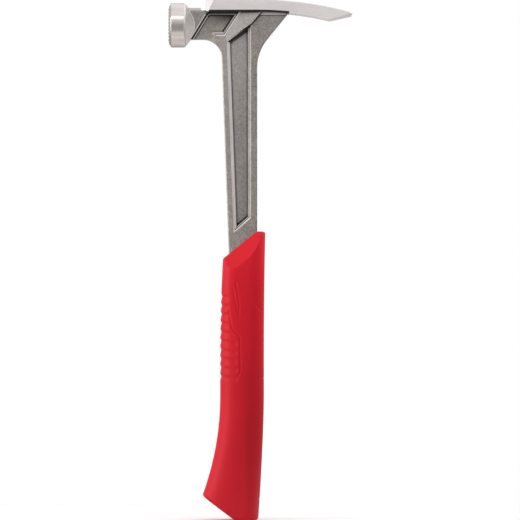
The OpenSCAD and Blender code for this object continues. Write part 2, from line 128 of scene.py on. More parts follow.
def pick(piece, items, test):
    """Selects only the items that pass the test, and returns how many did."""
    bpy.ops.mesh.select_all(action="DESELECT")
    count = 0
    for item in items:
        if test(item):
            item.select_set(True)
            count += 1
    bmesh.update_edit_mesh(piece.data)
    return count


def edge_middle(edge):
    return (edge.verts[0].co + edge.verts[1].co) / 2


def fold(edge):
    """The angle between an edge's two faces."""
    return edge.calc_face_angle(0) if len(edge.link_faces) == 2 else 0


def near(p, q):
    return (p - q).length < 0.01 * MM


def round_edges(piece, test, width, segments):
    """Bevels the folded edges that pass the test."""
    shape = open_edit(piece, "EDGE")
    if pick(piece, shape.edges, lambda e: fold(e) > SMOOTH_FOLD and test(e)):
        bpy.ops.mesh.bevel(
            offset_type="OFFSET",
            offset=width,
            segments=segments,
            profile=0.5,
            affect="EDGES",
            clamp_overlap=False,
            miter_outer="SHARP",
        )
    close_edit()


def apply_last(piece):
    only(piece)
    bpy.ops.object.modifier_apply(modifier=piece.modifiers[-1].name)


def draw(name, points):
    """Starts a piece as one flat face through the points, and leaves it open with that face selected."""
    bpy.ops.object.select_all(action="DESELECT")
    bpy.ops.mesh.primitive_plane_add(size=1 * MM, location=(0, 0, 0))
    piece = bpy.context.active_object
    piece.name = name
    bpy.ops.object.mode_set(mode="EDIT")
    bpy.ops.mesh.select_mode(type="VERT")
    bpy.ops.mesh.select_all(action="SELECT")
    bpy.ops.mesh.merge(type="CENTER")
    places = [Vector(p) for p in points]
    bpy.ops.transform.translate(value=places[0])
    for here, there in zip(places, places[1:]):
        bpy.ops.mesh.extrude_vertices_move(TRANSFORM_OT_translate={"value": there - here})
    bpy.ops.mesh.select_all(action="SELECT")
    bpy.ops.mesh.edge_face_add()
    return piece


def pull(step):
    bpy.ops.mesh.extrude_region_move(TRANSFORM_OT_translate={"value": step})


def close_solid():
    bpy.ops.mesh.select_all(action="SELECT")
    bpy.ops.mesh.normals_make_consistent(inside=False)
    close_edit()


def both_sides(piece):
    """Adds the piece's mirror image on the hammer's other side."""
    mirror = piece.modifiers.new("other side", "MIRROR")
    mirror.use_axis = (False, True, False)
    mirror.use_mirror_merge = False
    apply_last(piece)
    open_edit(piece, "VERT")
    close_solid()


def combine(piece, other, operation):
    """Joins another solid to a piece or cuts it away, and removes the other."""
    join = piece.modifiers.new("joined", "BOOLEAN")
    join.operation = operation
    join.solver = "EXACT"
    join.object = other
    apply_last(piece)
    bpy.data.objects.remove(other)


def cut(piece, point, normal):
    """Cuts off what lies beyond a plane, and closes the cut."""
    open_edit(piece, "VERT")
    bpy.ops.mesh.select_all(action="SELECT")
    bpy.ops.mesh.bisect(plane_co=point, plane_no=normal, use_fill=True, clear_outer=True, threshold=1e-7)
    close_edit()


def make_block(name, low, high):
    """A block between two corners, as a start for small features."""
    middle = (Vector(low) + Vector(high)) / 2
    size = Vector(high) - Vector(low)
    bpy.ops.object.select_all(action="DESELECT")
    bpy.ops.mesh.primitive_cube_add(size=1, location=middle)
    block = bpy.context.active_object
    block.name = name
    bpy.ops.transform.resize(value=size)
    bpy.ops.object.transform_apply(location=True, rotation=True, scale=True)
    return block


def make_bore(name, place, radius, length, turned=(0, 0, 0)):
    """A round cutter, upright unless it is turned."""
    bpy.ops.object.select_all(action="DESELECT")
    bpy.ops.mesh.primitive_cylinder_add(
        vertices=48,
        radius=radius,
        depth=length,
        location=place,
        rotation=turned,
    )
    bore = bpy.context.active_object
    bore.name = name
    bpy.ops.object.transform_apply(location=True, rotation=True, scale=True)
    return bore


def paint(piece, finishes, finish_of):
    """Gives a piece its finishes, and each face the one that finish_of names for it."""
    piece.data.materials.clear()
    for finish in finishes:
        piece.data.materials.append(finish)
    for face in piece.data.polygons:
        face.material_index = finish_of(face)


def all_over(finish):
    return lambda face: finish


# Outlines in the side view, X and Z

def flat(x, z):
    """A point of the side view, given in millimetres."""
    return Vector((x * MM, z * MM))


def meet(p, d, q, e):
    """Where the line through p along d meets the line through q along e."""
    return p + d * ((q - p).cross(e) / d.cross(e))


def fillet(a, p, b, radius, steps):
    """Points on the arc that rounds the corner at p between its neighbours a and b."""
    u, v = (a - p).normalized(), (b - p).normalized()
    half = u.angle(v) / 2
    centre = p + (u + v).normalized() * radius / math.sin(half)
    start = p + u * radius / math.tan(half) - centre
    end = p + v * radius / math.tan(half) - centre
    first = math.atan2(start.y, start.x)
    sweep = (math.atan2(end.y, end.x) - first + 3 * math.pi) % (2 * math.pi) - math.pi
    turns = [first + sweep * i / steps for i in range(steps + 1)]
    return [centre + radius * Vector((math.cos(t), math.sin(t))) for t in turns]


def drawn_out(points, runs):
    """An outline listed anticlockwise whose sides move outwards, side i from point i to the next."""
    count = len(points)
    moved = []
    for i, p in enumerate(points):
        d = (p - points[i - 1]).normalized()
        e = (points[(i + 1) % count] - p).normalized()
        q = p + runs[i - 1] * Vector((d.y, -d.x))
        r = p + runs[i] * Vector((e.y, -e.x))
        moved.append(meet(q, d, r, e))
    return moved


def at_depth(points, y):
    return [(p.x, y, p.y) for p in points]


def smooth(low, high, value):
    t = min(1.0, max(0.0, (value - low) / (high - low)))
    return t * t * (3 - 2 * t)


# Node wiring

class Wire:
    """A node's output. Sums on it add Math nodes, and node() adds any other kind to its tree."""

    def __init__(self, tree, socket=None):
        self.tree = tree
        self.socket = socket

    def node(self, kind, settings, inputs, output=0):
        made = self.tree.nodes.new(kind)
        for name, value in settings.items():
            setattr(made, name, value)
        for name, value in inputs.items():
            if isinstance(value, Wire):
                self.tree.links.new(value.socket, made.inputs[name])
            else:
                made.inputs[name].default_value = value
        return Wire(self.tree, made.outputs[output])

    def math(self, operation, first, second=0.0, third=0.0):
        inputs = {0: first, 1: second, 2: third}
        return self.node("ShaderNodeMath", {"operation": operation}, inputs)

    def __add__(self, other):
        return self.math("ADD", self, other)

    def __radd__(self, other):
        return self.math("ADD", other, self)

    def __sub__(self, other):
        return self.math("SUBTRACT", self, other)

    def __rsub__(self, other):
        return self.math("SUBTRACT", other, self)

    def __mul__(self, other):
        return self.math("MULTIPLY", self, other)

    def __rmul__(self, other):
        return self.math("MULTIPLY", other, self)

    def __pow__(self, other):
        return self.math("POWER", self, other)

    def axis(self, index):
        """The X, Y or Z of a vector, as index 0, 1 or 2."""
        return self.node("ShaderNodeSeparateXYZ", {}, {0: self}, index)

    def between(self, low, high):
        """0 below low, 1 above high, with a soft step from one to the other."""
        inputs = {"Value": self, "From Min": low, "From Max": high}
        return self.node("ShaderNodeMapRange", {"interpolation_type": "SMOOTHSTEP"}, inputs)

    def within(self, low, full, fading, high):
        """1 from full to fading, with soft steps up from low and down to high."""
        return self.between(low, full) * (1 - self.between(fading, high))

    def tint(self, low, high):
        """A colour that goes from low to high as this value goes from 0 to 1."""
        ends = [end if isinstance(end, Wire) else (*end, 1) for end in (low, high)]
        inputs = {0: self, 6: ends[0], 7: ends[1]}
        return self.node("ShaderNodeMix", {"data_type": "RGBA"}, inputs, 2)

    def openness(self, distance, inside):
        """1 where the surface is open round about, less in nooks, or near edges when seen from inside."""
        settings = {"samples": 12, "inside": inside, "only_local": True}
        return self.node("ShaderNodeAmbientOcclusion", settings, {"Distance": distance}, 1)

    def noise(self, scale, detail, roughness=0.5):
        """A noise over the place that this vector gives."""
        inputs = {"Vector": self, "Scale": scale, "Detail": detail, "Roughness": roughness}
        return self.node("ShaderNodeTexNoise", {}, inputs)

    def stretched(self, scale):
        """This vector in units of its own along each axis, for noise that is drawn out into lines."""
        inputs = {"Vector": self, "Scale": scale}
        return self.node("ShaderNodeMapping", {"vector_type": "TEXTURE"}, inputs)


def finish_named(name):
    """A new material, with its shader and the wire of its object coordinates."""
    material = bpy.data.materials.new(name)
    material.use_nodes = True
    shader = material.node_tree.nodes["Principled BSDF"]
    place = Wire(material.node_tree).node("ShaderNodeTexCoord", {}, {}, 3)
    return material, shader, place


def feed(shader, **inputs):
    for name, value in inputs.items():
        socket = shader.inputs[name.replace("_", " ")]
        if isinstance(value, Wire):
            value.tree.links.new(value.socket, socket)
        else:
            socket.default_value = value


def relief(height, depth):
    """A bump whose height of 0 to 1 stands for a depth in metres."""
    return height.node("ShaderNodeBump", {}, {"Strength": 1.0, "Distance": depth, "Height": height})


# Finishes

def forged_steel(name, dark, light, painted_shade_tone, metal=0.45, rough=0.44, gloss=0.5, cone=False):
    """The forging's skin: mottled and grainy, with painted shade in the nooks and edges worn bright, partly
    as painted highlight.
    """
    material, shader, place = finish_named(name)
    x, y, z = [place.axis(i) for i in range(3)]
    side = place.math("ABSOLUTE", y)
    blotch = place.noise(45, 3)
    mottle = place.noise(330, 3, 0.6)
    grain = place.noise(900, 5, 0.65)
    shade = blotch.between(0.3, 0.7) * 0.16 + mottle.between(0.3, 0.7) * 0.3 + grain.between(0.4, 0.6) * 0.54
    if cone:
        # The cone behind the poll is painted brighter below: painted light
        shade = shade * 0.3 + (2 - 2 * z.between(POLL_Z - 6 * MM, POLL_Z + 9 * MM)) * 0.35
    else:
        # The front of the forging is painted brighter than the rear: painted light
        shade = shade * 0.85 + (1 - x.between(-16 * MM, 4 * MM)) * 0.28

    # The web's floor is painted paler than the flanges, most of all towards the head: painted light that
    # lifts the shade in the recess
    web = (1 - side.between(3.2 * MM, 3.5 * MM)) * z.between(195 * MM, 205 * MM)
    web = web * (0.5 + 0.5 * z.between(285 * MM, 335 * MM))
    skin = web.tint(shade.tint(dark, light), shade.tint((0.40, 0.37, 0.35), (0.70, 0.65, 0.62)))

    # Edges are worn bright, partly as painted highlight, and a painted highlight runs along the line where
    # the neck runs out on the poll's cone
    out = (y * y + (z - POLL_Z) * (z - POLL_Z)) ** 0.5
    beside_cone = out + (x - CONE_START) * CONE_RATE - CONE_R
    edge = (1 - place.openness(0.8 * MM, True)).between(0.22, 0.5) * (0.5 + grain * 0.5)
    cone_line_highlight = beside_cone.within(0.0, 0.2 * MM, 0.9 * MM, 1.3 * MM)
    wear_and_light = cone_line_highlight.tint(edge.tint(skin, (0.74, 0.69, 0.66)), (0.86, 0.81, 0.78))

    # Painted shade darkens the cheek's corner under the rail, the run-out below it, and the nooks
    floor = side.within(4.2 * MM, 4.4 * MM, 4.8 * MM, 5.4 * MM)
    corner = z.within(359 * MM, 371 * MM, 371.8 * MM, 372.6 * MM) * x.between(-34 * MM, -10 * MM)
    wear_and_light = (floor * corner * 0.9).tint(wear_and_light, painted_shade_tone)
    ramp = side.within(4.9 * MM, 5.6 * MM, 7.0 * MM, 7.5 * MM)
    ramp = ramp * (1 - z.between(355 * MM, 356 * MM)) * (1 - x.between(-18 * MM, -15 * MM))
    wear_and_light = (ramp * x.between(-30 * MM, -28 * MM) * 0.25).tint(wear_and_light, painted_shade_tone)
    nook = (1 - place.openness(1.6 * MM, False)).between(0.1, 0.36)
    nook = nook * beside_cone.between(0.9 * MM, 2.2 * MM)
    feed(
        shader,
        Base_Color=nook.tint(wear_and_light, painted_shade_tone),
        Metallic=metal,
        Roughness=rough + (mottle - 0.5) * 0.3 - edge * 0.1,
        Specular_IOR_Level=gloss,
        Normal=relief(grain * 0.5 + mottle * 0.5, 0.16 * MM),
    )
    return material


def ground_steel(name, low, high):
    """Steel with lines of grinding along the rail."""
    material, shader, place = finish_named(name)
    lines = place.stretched((0.02, 0.0003, 0.0003)).noise(1, 4, 0.6)
    cloud = place.noise(60, 2)
    shade = lines * 0.6 + cloud * 0.4
    feed(
        shader,
        Base_Color=shade.between(0.2, 0.8).tint(low, high),
        Metallic=0.35,
        Roughness=0.32 + lines * 0.16,
        Normal=relief(lines, 0.012 * MM),
    )
    return material


def polished_steel():
    """The poll's steel, with fine lines round the rim. The milled face is duller, and the rim's underside is
    painted darker as painted shade.
    """
    material, shader, place = finish_named("polished_steel")
    lines = place.stretched((0.0004, 0.006, 0.006)).noise(1, 4, 0.6)
    cloud = place.noise(60, 2)
    shade = lines * 0.4 + cloud * 0.6
    bright = shade.between(0.2, 0.8).tint((0.67, 0.615, 0.59), (0.78, 0.725, 0.70))
    # Painted shade on the rim's underside
    under = 1 - place.axis(2).between(POLL_Z - 10.5 * MM, POLL_Z - 8 * MM)
    face = 1 - place.axis(0).between(-53.6 * MM, -52.4 * MM)
    rim = (under * (0.75 + lines * 0.25)).tint(bright, (0.50, 0.455, 0.44))
    feed(
        shader,
        Base_Color=(face * 0.8).tint(rim, (0.40, 0.37, 0.355)),
        Metallic=1.0,
        Roughness=0.16 + lines * 0.12 + face * 0.3,
        Normal=relief(lines, 0.003 * MM),
    )
    return material


def red_elastomer():
    """The grip's skin, with painted light: lighter at the top and along the finger side, and painted shade
    down the palm side lower down.
    """
    material, shader, place = finish_named("grip_red_elastomer")
    cloud = place.noise(28, 2)
    grain = place.noise(1700, 3)
    x, height = place.axis(0), place.axis(2)
    above = height.between(50 * MM, 170 * MM)
    # The distance from the finger side, which sweeps forward towards the butt
    sweep = place.math("MAXIMUM", (WAIST_LOW - height) * (1 / (WAIST_LOW - TOE_HEIGHT)), 0) ** 2
    inward = x + WAIST_FRONT + sweep * (TOE_REACH - WAIST_FRONT)
    finger = (1 - inward.between(0, 10 * MM)) * 0.35 + (1 - inward.between(4 * MM, 26 * MM)) * 0.25
    # A lighter stripe runs down the side, leaning a little: a painted highlight in place of a soft crease
    crease = x + (height - 95 * MM) * 0.048
    finger = finger + (1 - crease.between(-2.5 * MM, 2.5 * MM)) * 0.17
    grip_light = (above + (1 - above) * finger) * 0.9 + cloud.between(0.3, 0.7) * 0.1
    tone = grip_light.tint((0.415, 0.0042, 0.0125), (0.70, 0.008, 0.022))
    # The top is painted brighter still: painted light
    feed(
        shader,
        Base_Color=height.between(165 * MM, 200 * MM).tint(tone, (0.78, 0.012, 0.028)),
        Roughness=0.46 + grain * 0.12,
        Specular_IOR_Level=0.2,
        Normal=relief(grain, 0.02 * MM),
    )
    return material


def black_elastomer():
    material, shader, place = finish_named("sleeve_black_elastomer")
    cloud = place.noise(120, 3)
    grain = place.noise(1500, 3)
    feed(
        shader,
        Base_Color=cloud.between(0.3, 0.7).tint((0.012, 0.012, 0.013), (0.03, 0.03, 0.032)),
        Roughness=0.55 + grain * 0.2,
        Normal=relief(grain, 0.03 * MM),
    )
    return material


def nickel_plate():
    material, shader, place = finish_named("magnet_nickel_plate")
    cloud = place.noise(400, 3)
    grain = place.noise(2500, 3)
    feed(
        shader,
        Base_Color=cloud.between(0.3, 0.7).tint((0.52, 0.52, 0.53), (0.68, 0.68, 0.69)),
        Metallic=1.0,
        Roughness=0.24 + cloud * 0.16,
        Normal=relief(grain, 0.004 * MM),
    )
    return material


# The forging

FRONT_LOW = flat(-10.45, 194.8)
FRONT_CORNER = flat(-16.1, 352.2)
FRONT_LEAN = FRONT_CORNER - FRONT_LOW
REAR_CORNER = flat(10.45, 343.5)
GUSSET_TOP = flat(33.9, 372.3)
WEB_REAR = flat(6.35, 363.7)
WEB_TOP_ANGLE = math.radians(54)
WEB_END_ANGLE = math.radians(41)
CHEEK_EDGE = Vector((-math.tan(math.radians(33)), -1))
CHEEK_FOOT = 17.5 * MM
BRACE_FRONT = flat(-1.8, 372.3)
BRACE_FOOT = BRACE_FRONT + CHEEK_FOOT * CHEEK_EDGE
BRACE_REAR = flat(13.8, 372.3)
BRACE_RATE = 2.1 / 15.6


def make_plate():
    """The flat-sided body in one outline: neck, shank and gusset."""
    neck_start = flat(-43.4, 352.2)
    shank_foot = flat(10.45, 174.4)
    points = [neck_start]
    points += fillet(neck_start, FRONT_CORNER, FRONT_LOW, 13.4 * MM, 20)
    points += [FRONT_LOW, flat(-10.45, 174.4), shank_foot]
    points += fillet(shank_foot, REAR_CORNER, GUSSET_TOP, 33 * MM, 20)
    points += [GUSSET_TOP, flat(33.9, 376.65), flat(-21.5, 376.65)]
    points += [flat(-21.5, 373.4), flat(-43.4, 373.4)]
    plate = draw("forging", at_depth(points, -BODY_HALF))
    pull((0, 2 * BODY_HALF, 0))
    close_solid()
    round_edges(plate, lambda e: abs(edge_middle(e).y) > BODY_HALF - 0.1 * MM, 1.0 * MM, 3)
    return plate


def pocket(outline, steps):
    """A cutter for a recess: from the forging's face inwards, each step is a run inwards and a depth."""
    proud = 4 * MM
    cutter = draw("pocket", at_depth(outline, -BODY_HALF - proud))
    pull((0, proud - 0.02 * MM, 0))
    for run, depth in steps:
        bpy.ops.mesh.inset(thickness=run * MM, depth=0, use_even_offset=True)
        bpy.ops.transform.translate(value=(0, depth * MM, 0))
    close_solid()
    both_sides(cutter)
    return cutter


def web_outline():
    """The corners of the web's recess, from the low front corner round by the rear."""
    top = Vector((math.sin(WEB_TOP_ANGLE), math.cos(WEB_TOP_ANGLE)))
    end = Vector((math.cos(WEB_END_ANGLE), math.sin(WEB_END_ANGLE)))
    beside = FRONT_LOW + flat(4.1, 0)
    low = flat(0, 216.9)
    return [
        meet(beside, FRONT_LEAN, low, end),
        meet(WEB_REAR, Vector((0, 1)), low, end),
        WEB_REAR,
        meet(beside, FRONT_LEAN, WEB_REAR, top),
    ]


def web_pocket():
    outline = drawn_out(web_outline(), [0.75 * MM, 0, 0.75 * MM, 0.4 * MM])
    rim = [(0.45, 0.05), (0.22, 0.06), (0.22, 0.16), (0.16, 0.26)]
    wall = [(0.3, 0.7)]
    ledge = [(0.25, 0.08), (0.55, 0.18), (0.55, 0.19)]
    foot = [(0.35, 2.75), (0.2, 0.12), (0.3, 0.05)]
    return pocket(outline, rim + wall + ledge + foot)


def cheek_pocket():
    low_left = flat(-42.85, 346.5)
    top_left = flat(-26.79, 372.6)
    top_right = BRACE_FRONT - 0.3 * MM * CHEEK_EDGE
    outline = [low_left, flat(-24, 346.5), flat(-24, 354.8), BRACE_FOOT, top_right]
    outline += fillet(top_right, top_left, low_left, 7 * MM, 8)
    outline = drawn_out(outline, [0.4 * MM] * len(outline))
    rim = [(0.45, 0.05), (0.5, 0.04), (0.2, 0.15), (0.12, 0.21)]
    wall = [(0.6, 0.8), (0.3, 0.4)]
    ledge = [(0.45, 0.07), (0.55, 0.08)]
    foot = [(0.5, 0.95), (0.3, 0.27)]
    return pocket(outline, rim + wall + ledge + foot)


def cheek_ramp():
    """The cutter that lets the cheek's floor out under the neck, rising from it towards the flange."""
    floor, outside = -4.605, -9.5
    steps = [i / 10 for i in range(11)]
    slope = [(-23.85 + 6.7 * t, floor - 3.095 * smooth(0, 1, t)) for t in steps]
    high = [(-28.2, outside), (-28.2, floor)] + slope + [(-17.15, outside)]
    low = [(x - 5.5, y) for x, y in high]
    cutter = draw("ramp", [(x * MM, y * MM, 362 * MM) for x, y in high])
    pull((0, 0, -24 * MM))
    shape = bmesh.from_edit_mesh(cutter.data)
    for v in shape.verts:
        if v.select:
            away = [(v.co.x - x * MM) ** 2 + (v.co.y - y * MM) ** 2 for x, y in high]
            x, y = low[away.index(min(away))]
            v.co = (x * MM, y * MM, 338 * MM)
    bmesh.update_edit_mesh(cutter.data)
    close_solid()
    both_sides(cutter)
    return cutter


def make_brace():
    """The brace from the front flange up to the rail, with its top tilted outwards towards the rear."""
    foot = web_outline()[3] - flat(0.4, 0)
    fade = web_outline()[3] - 12 * MM * FRONT_LEAN.normalized() - flat(0.4, 0)
    under_rail = [BRACE_REAR + flat(3.2, 3.7), BRACE_FRONT + flat(2.4, 3.7)]
    outline = [BRACE_FOOT, fade, foot, WEB_REAR] + under_rail
    across = Vector((-CHEEK_EDGE.y, CHEEK_EDGE.x))
    rises = [BRACE_RATE * (p - BRACE_FRONT).dot(across) + 0.06 * MM for p in outline]
    rises[:3] = [-0.1 * MM, -0.15 * MM, 0.15 * MM]
    base = drawn_out(outline, [0, 0, 2.5 * MM, 4.0 * MM, 0, 2.2 * MM])
    top = drawn_out(outline, [0, 0, -0.35 * MM, -0.45 * MM, 0, 0.1 * MM])
    brace = draw("brace", at_depth(base, -2.5 * MM))
    pull((0, -4 * MM, 0))
    shape = bmesh.from_edit_mesh(brace.data)
    corners = [Vector((p.x, -BODY_HALF - rise, p.y)) for p, rise in zip(top, rises)]
    for start, corner in zip(base, corners):
        for v in shape.verts:
            if v.select and near(Vector((v.co.x, v.co.z)), start):
                v.co = corner
    pick(brace, shape.verts, lambda v: near(v.co, corners[0]) or near(v.co, corners[2]))
    bpy.ops.mesh.vert_connect_path()
    close_solid()

    def touches(e, i):
        return any(near(v.co, corners[i]) for v in e.verts)

    def ridge(e):
        high = all(v.co.y < -BODY_HALF + 0.3 * MM for v in e.verts)
        clear = not touches(e, 0) and not touches(e, 1)
        front = touches(e, 0) and touches(e, 5)
        return high and (clear or front) and edge_middle(e).z < RAIL_MIDDLE - 1 * MM

    round_edges(brace, ridge, 0.5 * MM, 3)
    both_sides(brace)
    return brace


def make_ledge():
    """The low step along the underside of the rail, behind the brace."""
    gusset = (GUSSET_TOP - REAR_CORNER).normalized()
    rear = [GUSSET_TOP - 3.4 * MM * gusset - flat(0.7, 0), GUSSET_TOP - flat(0.7, -1.7)]
    ledge = draw("ledge", at_depth([flat(9, 374), flat(9, 369.7)] + rear, -BODY_HALF + 1 * MM))
    pull((0, -1.5 * MM, 0))
    close_solid()

    def outer_low(e):
        p = edge_middle(e)
        return p.y < -BODY_HALF - 0.4 * MM and p.z < 371 * MM

    round_edges(ledge, outer_low, 0.25 * MM, 2)
    both_sides(ledge)
    return ledge


def claw_top(x):
    return HEAD_TOP - CLAW_TOP_R + math.sqrt(CLAW_TOP_R ** 2 - max(0.0, x - CLAW_BEND) ** 2)


def claw_under(x):
    bevel = CLAW_TIP - TIP_BEVEL
    past = max(0.0, min(x, bevel) - CLAW_BEND)
    arc = HEAD_TOP - CLAW_TOP_R + math.sqrt(CLAW_UNDER_R ** 2 - past ** 2)
    share = max(0.0, x - bevel) / TIP_BEVEL
    return arc + (claw_top(CLAW_TIP) - TIP_EDGE - arc) * share


def claw_half(x):
    radius = (FLARE_RUN ** 2 + FLARE ** 2) / (2 * FLARE)
    past = max(0.0, x - FLARE_START)
    return RAIL_HALF + radius - math.sqrt(radius ** 2 - past ** 2)


def draw_out_rail():
    """The rail and the claw, drawn out from the rail's front section by section."""
    stations = [RAIL_FRONT, CLAW_BEND - 20 * MM, CLAW_BEND, 16 * MM, 20 * MM, FLARE_START]
    stations += [FLARE_START + FLARE_RUN * i / 17 for i in range(1, 12)]
    stations += [63.5 * MM, 67.5 * MM, 72 * MM, 76 * MM, CLAW_TIP]
    half, low, high = claw_half(RAIL_FRONT), claw_under(RAIL_FRONT), claw_top(RAIL_FRONT)
    section = [(-half, low), (half, low), (half, high), (-half, high)]
    rail = draw("rail", [(RAIL_FRONT, y, z) for y, z in section])
    for x_last, x in zip(stations, stations[1:]):
        pull((x - x_last, 0, 0))
        middle = (claw_under(x_last) + claw_top(x_last)) / 2
        shape = bmesh.from_edit_mesh(rail.data)
        for v in shape.verts:
            if v.select:
                half = claw_half(x) if v.co.y > 0 else -claw_half(x)
                v.co = (x, half, claw_top(x) if v.co.z > middle else claw_under(x))
    bmesh.update_edit_mesh(rail.data)
    close_solid()
    return rail


def make_rail():
    rail = draw_out_rail()

    # The front corners are cut back, more at the top than below
    for side in (-1, 1):
        a = Vector((RAIL_FRONT + CORNER_CUT_LOW, side * RAIL_HALF, RAIL_LOW))
        b = Vector((RAIL_FRONT + CORNER_CUT_TOP, side * RAIL_HALF, HEAD_TOP))
        c = Vector((RAIL_FRONT, side * (RAIL_HALF - CORNER_CUT_LOW), RAIL_LOW))
        normal = (b - a).cross(c - a).normalized()
        cut(rail, a, normal if normal.x < 0 else -normal)

    def tip_corner(e):
        p = edge_middle(e)
        upright = abs(e.verts[0].co.z - e.verts[1].co.z) > 0.5 * MM
        return p.x > CLAW_TIP - 0.1 * MM and abs(p.y) > 10 * MM and upright

    round_edges(rail, tip_corner, 3.95 * MM, 8)

    # The nail slot, with a round root
    slot = [(SLOT_ROOT_X, -SLOT_ROOT_R), (82, -5.74), (82, 5.74), (SLOT_ROOT_X, SLOT_ROOT_R)]
    turns = [math.radians(90 + 180 * i / 12) for i in range(1, 12)]
    slot += [(SLOT_ROOT_X + SLOT_ROOT_R * math.cos(t), SLOT_ROOT_R * math.sin(t)) for t in turns]
    cutter = draw("slot", [(x * MM, y * MM, 355 * MM) for x, y in slot])
    pull((0, 0, 40 * MM))
    close_solid()
    combine(rail, cutter, "DIFFERENCE")

    def along_under(e):
        p = edge_middle(e)
        low = abs(p.z - claw_under(p.x)) < 0.15 * MM
        return low and fold(e) > math.radians(50) and p.x < 63 * MM

    round_edges(rail, along_under, 1.3 * MM, 2)
    round_edges(rail, lambda e: fold(e) > math.radians(35), 0.35 * MM, 2)
    return rail


def make_poll():
    """The poll and its tapered back, spun about the poll's axis, with teeth milled in its face."""
    profile = [(-54.8, 0.01), (-54.8, 12.8), (-52.79, 16.0)]
    profile += [(-52.66, 16.16), (-52.48, 16.265), (-52.25, 16.3)]
    profile += [(-43.3, 16.3), (-42.85, 16.22), (-42.45, 15.98), (-42.15, 15.65), (-41.9, 15.3)]
    profile += [(-33.58, 4.6), (-33.58, 0.01)]
    poll = draw("poll", [(x * MM, 0, POLL_Z + r * MM) for x, r in profile])
    bpy.ops.mesh.delete(type="ONLY_FACE")
    shape = bmesh.from_edit_mesh(poll.data)
    pick(poll, shape.edges, lambda e: all(v.co.z < POLL_Z + 0.1 * MM for v in e.verts))
    bpy.ops.mesh.delete(type="EDGE")
    bpy.ops.mesh.select_all(action="SELECT")
    bpy.ops.mesh.spin(steps=96, angle=2 * math.pi, center=(0, 0, POLL_Z), axis=(1, 0, 0))
    bpy.ops.mesh.select_all(action="SELECT")
    bpy.ops.mesh.remove_doubles(threshold=0.03 * MM)
    close_solid()

    # Grooves across the face, and the same grooves turned a quarter
    low = POLL_Z - 5 * MILL_PITCH
    groove = [(-53.8 * MM, low), (-55.0 * MM, low - 1.2 * MM), (-55.0 * MM, low + 1.2 * MM)]
    for turn in (0, math.pi / 2):
        cutter = draw("grooves", [(x, -18 * MM, z) for x, z in groove])
        pull((0, 36 * MM, 0))
        bpy.ops.mesh.select_all(action="SELECT")
        for i in range(10):
            bpy.ops.mesh.duplicate_move(TRANSFORM_OT_translate={"value": (0, 0, MILL_PITCH)})
        bpy.ops.mesh.select_all(action="SELECT")
        if turn:
            bpy.ops.transform.rotate(value=turn, orient_axis="X", center_override=(0, 0, POLL_Z))
        close_solid()
        combine(poll, cutter, "DIFFERENCE")
    return poll


# Where the forging's finishes go. A recess has a row for each wall, and in it a finish for each step
# of depth: the levels are the depths in millimetres where one step ends and the next begins. The rows
# paint the recesses' light and shade, with bands of painted shade and lines of painted highlight

WEB_LEVELS = (0.03, 0.51, 1.21, 1.29, 1.47, 1.66, 4.41)
WEB_FINISHES = {
    "top": (GREY, GROUND_AND_HIGHLIGHT, PAINTED_SHADE, PAINTED_SHADE, PAINTED_SHADE, PAINTED_SHADE, PAINTED_SHADE, PAINTED_SHADE),
    "foot": (GROUND_AND_HIGHLIGHT, GROUND_AND_HIGHLIGHT, PAINTED_SHADE, PAINTED_SHADE, PAINTED_HIGHLIGHT, PAINTED_SHADE, PAINTED_SHADE, PAINTED_SHADE),
    "left": (GREY, GROUND_AND_HIGHLIGHT, GROUND_AND_HIGHLIGHT, GROUND_AND_HIGHLIGHT, GROUND_AND_HIGHLIGHT, GROUND_AND_HIGHLIGHT, PAINTED_SHADE, GREY),
    "right": (GREY, PAINTED_LIT_GREY, PAINTED_LIT_GREY, PAINTED_LIT_GREY, PAINTED_LIT_GREY, PAINTED_LIT_GREY, PAINTED_SHADE, GREY),
}
CHEEK_LEVELS = (0.03, 0.43, 1.23, 1.63, 1.70, 1.78, 2.73)
CHEEK_FINISHES = {
    "top": (GREY, PAINTED_SHADE, PAINTED_SHADE, PAINTED_SHADE, PAINTED_LIT_GREY, PAINTED_SHADE, PAINTED_SHADE, GREY),
    "foot": (GROUND_AND_HIGHLIGHT, GROUND_AND_HIGHLIGHT, PAINTED_SHADE, GROUND_AND_HIGHLIGHT, GROUND_AND_HIGHLIGHT, GREY, GREY, GREY),
    "left": (GREY, GROUND_AND_HIGHLIGHT, PAINTED_SHADE, PAINTED_SHADE, PAINTED_SHADE, GROUND_AND_HIGHLIGHT, PAINTED_SHADE, GREY),
    "right": (GREY, GROUND_AND_HIGHLIGHT, PAINTED_SHADE, PAINTED_HIGHLIGHT, PAINTED_HIGHLIGHT, PAINTED_SHADE, PAINTED_SHADE, PAINTED_SHADE),
}


def recess_finish(levels, rows):
    def finish_of(face):
        side = Vector((face.normal.x, face.normal.z))
        if side.length < 0.02:
            return GREY
        side.normalize()
        depth = BODY_HALF - abs(face.center.y)
        step = sum(depth > level * MM for level in levels)
        wall = "left" if side.x < 0 else "right"
        if side.y > 0.7:
            wall = "top"
        elif side.y < -0.6:
            wall = "foot"
        return rows[wall][step]

    return finish_of


# The brace's top in a lighter painted grey, its edges in painted highlight and its walls in painted shade
def brace_finish(face):
    outward = abs(face.normal.y)
    if outward > 0.5 and face.center.z < BRACE_FOOT.y - 1 * MM:
        return GREY
    if outward > 0.97:
        return PAINTED_LIT_GREY
    if abs(face.center.y) > BODY_HALF - 0.7 * MM:
        return GROUND_AND_HIGHLIGHT if face.normal.x < 0 and face.normal.z > 0.1 else PAINTED_HIGHLIGHT
    return PAINTED_SHADE


# Painted shade on the ledge's underside and painted highlight on its other faces
def ledge_finish(face):
    return PAINTED_SHADE if face.normal.z < -0.3 else PAINTED_HIGHLIGHT


